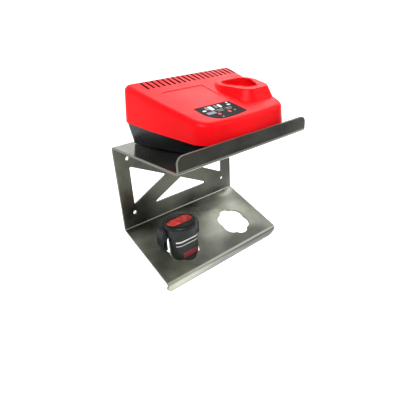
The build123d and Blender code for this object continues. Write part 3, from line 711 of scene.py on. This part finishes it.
# %% Inner finishes
zinc = metal("zinc_screw", (0.50, 0.50, 0.52), (0.66, 0.66, 0.68), rough=(0.25, 0.4),
             stretch=(900.0, 900.0, 60.0))
nickel = metal("nickel_strip", (0.60, 0.58, 0.54), (0.72, 0.70, 0.66), rough=(0.22, 0.34))
brass = metal("plated_contact", (0.72, 0.54, 0.26), (0.85, 0.68, 0.36), rough=(0.2, 0.3))
aluminium = metal("drawn_aluminium", (0.62, 0.62, 0.63), (0.74, 0.74, 0.76), rough=(0.3, 0.42),
                  stretch=(900.0, 900.0, 20.0))
board_green = plastic("board_mask", (0.010, 0.10, 0.035), (0.02, 0.17, 0.06), rough=(0.25, 0.35),
                      grain=1200.0, depth=0.2, cloud=300.0)
sleeve_blue = plastic("capacitor_sleeve", (0.015, 0.02, 0.05), (0.03, 0.04, 0.09), rough=(0.2, 0.3),
                      grain=900.0, depth=0.08, coat=0.3)
cell_wrap = plastic("cell_wrap", (0.02, 0.16, 0.26), (0.03, 0.22, 0.34), rough=(0.2, 0.3),
                    grain=900.0, depth=0.08, coat=0.3)
core_tape = plastic("winding_tape", (0.42, 0.30, 0.05), (0.52, 0.38, 0.08), rough=(0.3, 0.4),
                    grain=800.0, depth=0.15)
lamp_clear = plastic("clear_lens", (0.80, 0.84, 0.80), (0.9, 0.93, 0.9), rough=(0.08, 0.14),
                     grain=600.0, depth=0.02, coat=0.6)
lamp_red = plastic("red_lens", (0.55, 0.01, 0.01), (0.75, 0.02, 0.02), rough=(0.3, 0.4),
                   grain=600.0, depth=0.02, cloud=400.0, gloss=0.15)
dress(zinc, "housing_screws", "board_screws")
dress(nickel, "cell_straps", "latch_springs")
dress(brass, "charging_blades", "pack_terminals")
dress(aluminium, "heat_sink")
dress(board_green, "circuit_board", "pack_board")
dress(sleeve_blue, "main_capacitor", "output_capacitors")
dress(cell_wrap, "pack_cells")
dress(core_tape, "transformer")
dress(lamp_clear, "indicator_lamps")
dress(lamp_red, "light_pipes")
print("inner pieces dressed")

# %% [markdown]
# ## Small surfaces
#
# Three round cells set the shape of almost everything on the pack and its well: a triangle with round
# corners. Its outline has a simple rule. Looking along a direction, the outermost of the three circles is
# the one whose centre lies furthest that way, and the outline's point is that centre plus one radius. Taken
# over all directions this gives corners and straight sides at once, so no case has to be told apart.

# %% Outline round three cells
PITCH = 19.0
ROW = PITCH * math.cos(math.radians(30))
CELLS = np.array([[-PITCH / 2, -ROW / 3], [PITCH / 2, -ROW / 3], [0.0, 2 * ROW / 3]])
STEM_CORNER = 11.4
OUTLINE_TURN = full_turn(96)


def around_cells(angles, turned=False):
    """For each angle, the centre that lies furthest along the unit vector of that angle, and that vector."""
    centres = -CELLS if turned else CELLS
    facing = np.stack([np.cos(angles), np.sin(angles)], axis=-1)
    furthest = (facing @ centres.T).argmax(axis=1)
    return centres[furthest], facing


def lift(flat, height):
    """Puts plane points at a height, and changes millimetres to metres."""
    return np.concatenate([flat, np.broadcast_to(height, flat.shape[:-1])[..., None]], axis=-1) * MM


corner_centres, turn_facing = around_cells(OUTLINE_TURN)
print("stem's reach in mm:", (corner_centres + STEM_CORNER * turn_facing).max(axis=0).round(2))

# %% [markdown]
# ### Beads
#
# Moulded mouths end in a small round bead, since a sharp edge would cut fingers and chip. The bead is a
# tube that follows an outline: one parameter runs round the outline, the other round the tube. The well's
# bead also leans with the collar's rim, so its height follows a plane that falls 7 degrees to the front.

# %% Bead function and the well's bead
WELL = np.array([52.0, -74.0])
WELL_CORNER = 12.9
RIM_TOP = 119.25
RIM_LEAN = math.tan(math.radians(7))
BEAD_SINK = 0.35   # how far the middle of the bead lies below the rim


def bead(name, centres, facing, reach, radius, middle, height, lean=0.0):
    """Tube round an outline: outwards by reach + radius * cos(v), up by radius * sin(v), plus lean * y."""
    around = full_turn(16)[None, :]
    out = reach + radius * np.cos(around)
    flat = centres[:, None, :] + facing[:, None, :] * out[..., None]
    level = height + radius * np.sin(around) + lean * flat[..., 1]
    return smooth(outward(surface(name, lift(flat + middle, level), closed_u=True, closed_v=True)), angle=80)


well_bead = bead("well_bead", *around_cells(OUTLINE_TURN, turned=True), reach=WELL_CORNER, radius=0.9,
                 middle=WELL, height=RIM_TOP - BEAD_SINK, lean=RIM_LEAN)
well_bead.data.materials.append(red_shell)
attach(well_bead, "charger")
print("well bead:", len(well_bead.data.polygons), "faces")

# %% [markdown]
# The cap of the pack has two beads of the same kind. One runs round its side, a little below the top. The
# other lines the inlay, whose outline is a slot: two half circles, and straight sides between them. The same
# function makes both, one with no offset from the middle, the other with one centre on either side.

# %% Beads of the cap
PACK = np.array([-49.0, -59.9235])
PACK_ZERO = -82.2486
CAP_TOP = PACK_ZERO + 40.5
CAP_RADIUS = 22.7
CAP_BEAD_DROP = 4.4
INSERT_BEAD_SINK = 0.15
INSERT_CENTRE = 10.0
INSERT_END = 9.5

no_offset = np.zeros((len(OUTLINE_TURN), 2))
slot_centres = np.sign(np.cos(OUTLINE_TURN))[:, None] * np.array([INSERT_CENTRE, 0.0])
cap_bead = bead("cap_bead", no_offset, turn_facing, reach=CAP_RADIUS, radius=0.45, middle=PACK,
                height=CAP_TOP - CAP_BEAD_DROP)
insert_bead = bead("insert_bead", slot_centres, turn_facing, reach=INSERT_END, radius=0.5, middle=PACK,
                   height=CAP_TOP - INSERT_BEAD_SINK)
for ring in (cap_bead, insert_bead):
    ring.data.materials.append(pack_black)
    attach(ring, "battery_pack")
print("cap beads:", len(cap_bead.data.polygons) + len(insert_bead.data.polygons), "faces")

# %% [markdown]
# ### Grips of the latches
#
# A thumb needs something to hold on to, so the latches have cross ribs on their outer faces. Each rib is a
# bar with round ends: its radius falls off towards both ends as a superellipse does. All ribs of a latch
# are one mesh of several grids, and it rides on the latch's own body, so it moves when the latch is pressed.

# %% Ribs
LATCH_FACE = 31.0
RIB_HEIGHTS = np.array([14.6, 16.8, 19.0, 21.2, 23.4])
RIB_RADIUS = 0.65
RIB_HALF_LENGTH = 5.0
RIB_MIDDLE = PACK[1] + 5.0
END_POWER = 6
OPEN_END = 1.0001   # a little over 1, so that the ends keep a face


def ribs(name, x, body):
    """Bars along Y at five heights: half length times u, and radius times (1 - u^6)^(1/2) round that axis."""
    along = np.linspace(-1, 1, 13)[None, :, None]
    around = full_turn(12)[None, None, :]
    height = (PACK_ZERO + RIB_HEIGHTS)[:, None, None]
    radius = RIB_RADIUS * np.sqrt(OPEN_END - along ** END_POWER)
    grid = np.stack(np.broadcast_arrays(x + radius * np.cos(around), RIB_MIDDLE + RIB_HALF_LENGTH * along,
                                        height + radius * np.sin(around)), axis=-1) * MM
    piece = smooth(outward(surface(name, grid, closed_v=True, caps=True)), angle=50)
    piece.data.materials.append(pack_black)
    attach(piece, body)
    return piece


left_ribs = ribs("left_latch_ribs", PACK[0] - LATCH_FACE, "left_latch_body")
right_ribs = ribs("right_latch_ribs", PACK[0] + LATCH_FACE, "right_latch_body")
print("rib faces:", len(left_ribs.data.polygons) + len(right_ribs.data.polygons))

# %% [markdown]
# ### Bands round the stem
#
# The stem wears a smooth dark label with two plain pale lines, and a dim red band below it. An image could
# draw them on the surface, but thin skins stay sharp from close by. They follow the stem's outline over its
# front, from one direction to another. A skin has an outer and an inner side, so its cross-section is a
# closed loop that runs along the outside and back along the inside.

# %% Stem bands
def stem_band(name, low, high, start, end, finish, thickness=0.12):
    """Closed skin on the stem: round its outline from start to end degrees, between two heights."""
    centres, facing = around_cells(np.radians(np.linspace(start, end, 60)))
    outside = centres + facing * (STEM_CORNER + thickness)
    inside = centres + facing * (STEM_CORNER - thickness)
    loop = np.concatenate([outside, inside[::-1]])
    flat = np.broadcast_to(loop + PACK, (2, *loop.shape))
    band = outward(surface(name, lift(flat, PACK_ZERO + np.array([[low], [high]])), closed_v=True, caps=True))
    band.data.materials.append(finish)
    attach(band, "battery_pack")
    return band


dark_label = plastic("dark_label", (0.008, 0.011, 0.009), (0.016, 0.021, 0.018), rough=(0.30, 0.38),
                     grain=900.0, depth=0.06, gloss=0.22)
white_ink = plastic("white_ink", (0.60, 0.60, 0.58), (0.78, 0.78, 0.75), grain=1500.0, depth=0.1)
pale_ink = plastic("pale_ink", (0.42, 0.42, 0.40), (0.55, 0.55, 0.52), rough=(0.35, 0.45), grain=1500.0,
                   depth=0.1)
dim_red = plastic("dim_red", (0.06, 0.005, 0.010), (0.22, 0.008, 0.018), grain=1500.0, depth=0.1,
                  cloud=150.0)
bands = [
    stem_band("stem_label", 2.0, 24.5, 215, 345, dark_label, thickness=0.08),
    stem_band("stem_line_upper", 17.8, 19.6, 222, 340, white_ink),
    stem_band("stem_line_lower", 12.6, 13.8, 222, 318, pale_ink),
    stem_band("stem_line_red", -6.5, 1.5, 266, 336, dim_red),
]
print("bands:", [band.name for band in bands])

# %% [markdown]
# ### Marks on the status panel
#
# The panel of a charger explains its lamps. Here it has plain marks: a row of small plates, thin lines
# under them and dots by the lamps. Every mark is a superellipse, which goes from a dot to a bar with one
# exponent, and the marks of one ink are one mesh. They lie on the panel's own plane, which falls 17 degrees
# to the front.

# %% Panel marks
CHARGER = np.array([7.0, -3.0, 59.25])
DECK_LEAN = math.tan(math.radians(17))
PANEL_TOP = 74.8
WHITE_MARKS = np.array([   # middle x, middle y, half width, half length, exponent
    [-41.2, -101.0, 2.4, 1.2, 4.0], [-30.0, -98.8, 2.6, 4.2, 6.0], [-16.4, -97.8, 1.9, 3.2, 6.0],
    [-2.6, -94.9, 1.5, 1.3, 2.0], [-3.8, -99.4, 2.3, 1.2, 4.0],
])
FAINT_MARKS = np.array([
    [-35.2, -97.6, 1.7, 3.2, 6.0], [-22.0, -97.6, 1.5, 3.0, 6.0], [-23.0, -104.6, 5.5, 0.6, 8.0],
    [-9.5, -104.6, 5.0, 0.6, 8.0], [-10.5, -107.4, 4.0, 0.5, 8.0], [-22.5, -107.4, 4.5, 0.5, 8.0],
    [-29.6, -118.2, 1.3, 1.1, 2.0], [-6.5, -112.0, 1.2, 1.1, 2.0],
])
SLATE_PLATE = np.array([[-37.0, -107.6, 6.0, 2.4, 8.0]])


def panel_marks(name, marks, thickness=0.15):
    """Superellipses: middle + half size * sign(cos t) * |cos t|^(2 / exponent), and with sin for y."""
    angle = full_turn(40)[None, :]
    power = 2 / marks[:, 4:5]
    x = marks[:, 0:1] + marks[:, 2:3] * np.sign(np.cos(angle)) * np.abs(np.cos(angle)) ** power
    y = marks[:, 1:2] + marks[:, 3:4] * np.sign(np.sin(angle)) * np.abs(np.sin(angle)) ** power
    z = PANEL_TOP + y * DECK_LEAN
    ring = np.stack([x, y, z], axis=-1)[:, None] + CHARGER
    rise = np.array([-thickness, thickness])[None, :, None, None] * np.array([0.0, 0.0, 1.0])
    return outward(surface(name, (ring + rise) * MM, closed_v=True, caps=True))


faint_ink = plastic("faint_ink", (0.10, 0.10, 0.09), (0.17, 0.17, 0.155), rough=(0.35, 0.45), grain=1500.0,
                    depth=0.1)
slate_ink = plastic("slate_ink", (0.055, 0.065, 0.10), (0.10, 0.115, 0.155), grain=1500.0, depth=0.1)
for label, table, ink in (("panel_marks", WHITE_MARKS, white_ink), ("panel_lines", FAINT_MARKS, faint_ink),
                          ("panel_plate", SLATE_PLATE, slate_ink)):
    marks = panel_marks(label, table)
    marks.data.materials.append(ink)
    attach(marks, "charger")
print("marks:", len(WHITE_MARKS) + len(FAINT_MARKS) + len(SLATE_PLATE))

# %% [markdown]
# ## The floor
#
# A plain pale floor curves up far behind the object, so the background has no edge. It lies well below the
# lower shelf, since the holder hangs on a wall. Under and behind the object it also glows, which keeps the
# background white. Further in front, out of the camera's view, it doesn't, so that the steel has something
# darker to mirror.

# %% Floor sweep
def sweep_floor(level, front, depth, height, radius, half_width):
    """A profile carried along X: straight from the front, a quarter circle of y = depth + radius * sin(t),
    z = radius * (1 - cos(t)), then straight up."""
    arc = np.linspace(0, math.pi / 2, 24)
    y = np.concatenate([[front], depth + radius * np.sin(arc), [depth + radius]])
    z = np.concatenate([[0.0], radius * (1 - np.cos(arc)), [height]]) + level
    x = np.linspace(-half_width, half_width, 2)
    points = np.stack([np.broadcast_to(x[:, None], (2, len(y))), np.broadcast_to(y, (2, len(y))),
                       np.broadcast_to(z, (2, len(z)))], axis=-1)
    floor = surface("studio_floor", points)
    floor.data.shade_smooth()
    return floor


def pale_floor():
    """Matt white with an emission that rises along Y, from none a metre in front to full at the object."""
    material, tree, shader = start_material("pale_floor")
    shader.inputs["Base Color"].default_value = (0.82, 0.82, 0.82, 1)
    shader.inputs["Roughness"].default_value = 0.9
    shader.inputs["Emission Color"].default_value = (1, 1, 1, 1)
    place = tree.nodes.new("ShaderNodeTexCoord")
    parts = tree.nodes.new("ShaderNodeSeparateXYZ")
    glow = tree.nodes.new("ShaderNodeMapRange")
    glow.inputs["From Min"].default_value = -1.0
    glow.inputs["From Max"].default_value = -0.35
    glow.inputs["To Max"].default_value = 0.8
    tree.links.new(place.outputs["Object"], parts.inputs[0])
    tree.links.new(parts.outputs["Y"], glow.inputs["Value"])
    tree.links.new(glow.outputs["Result"], shader.inputs["Emission Strength"])
    return material


floor = sweep_floor(level=-0.42, front=-3.0, depth=1.2, height=5.0, radius=1.0, half_width=12.0)
floor.data.materials.append(pale_floor())
print("floor:", len(floor.data.polygons), "faces")

# %% [markdown]
# ## Light
#
# Three large soft lamps light the holder as in a studio: a strong one from the front left, a weak one that
# opens the shadows on the right, and one above, towards the right and the back. The pale world around gives
# the steel something to reflect. The Standard view keeps the floor white and the red full.

# %% World and lamps
WORLD_STRENGTH = 0.25
TARGET = (0, -0.05, 0)

world = bpy.data.worlds.new("studio")
world.use_nodes = True
background = world.node_tree.nodes["Background"]
background.inputs["Color"].default_value = (1, 1, 1, 1)
background.inputs["Strength"].default_value = WORLD_STRENGTH
bpy.context.scene.world = world


def soft_lamp(name, place, size, watts):
    """A square area lamp at a place, turned to the target."""
    data = bpy.data.lights.new(name, "AREA")
    data.size = size
    data.energy = watts
    lamp = bpy.data.objects.new(name, data)
    lamp.location = place
    lamp.rotation_euler = (Vector(TARGET) - Vector(place)).to_track_quat("-Z", "Y").to_euler()
    bpy.context.scene.collection.objects.link(lamp)


soft_lamp("key", (-0.8, -1.0, 1.2), size=0.8, watts=26)
soft_lamp("fill", (1.0, -1.1, 0.6), size=1.0, watts=5)
soft_lamp("overhead", (0.95, 0.30, 1.3), size=1.3, watts=16)
bpy.context.scene.view_settings.view_transform = "Standard"
print("world and lamps ready")

# %% Finish
print("scene ready")
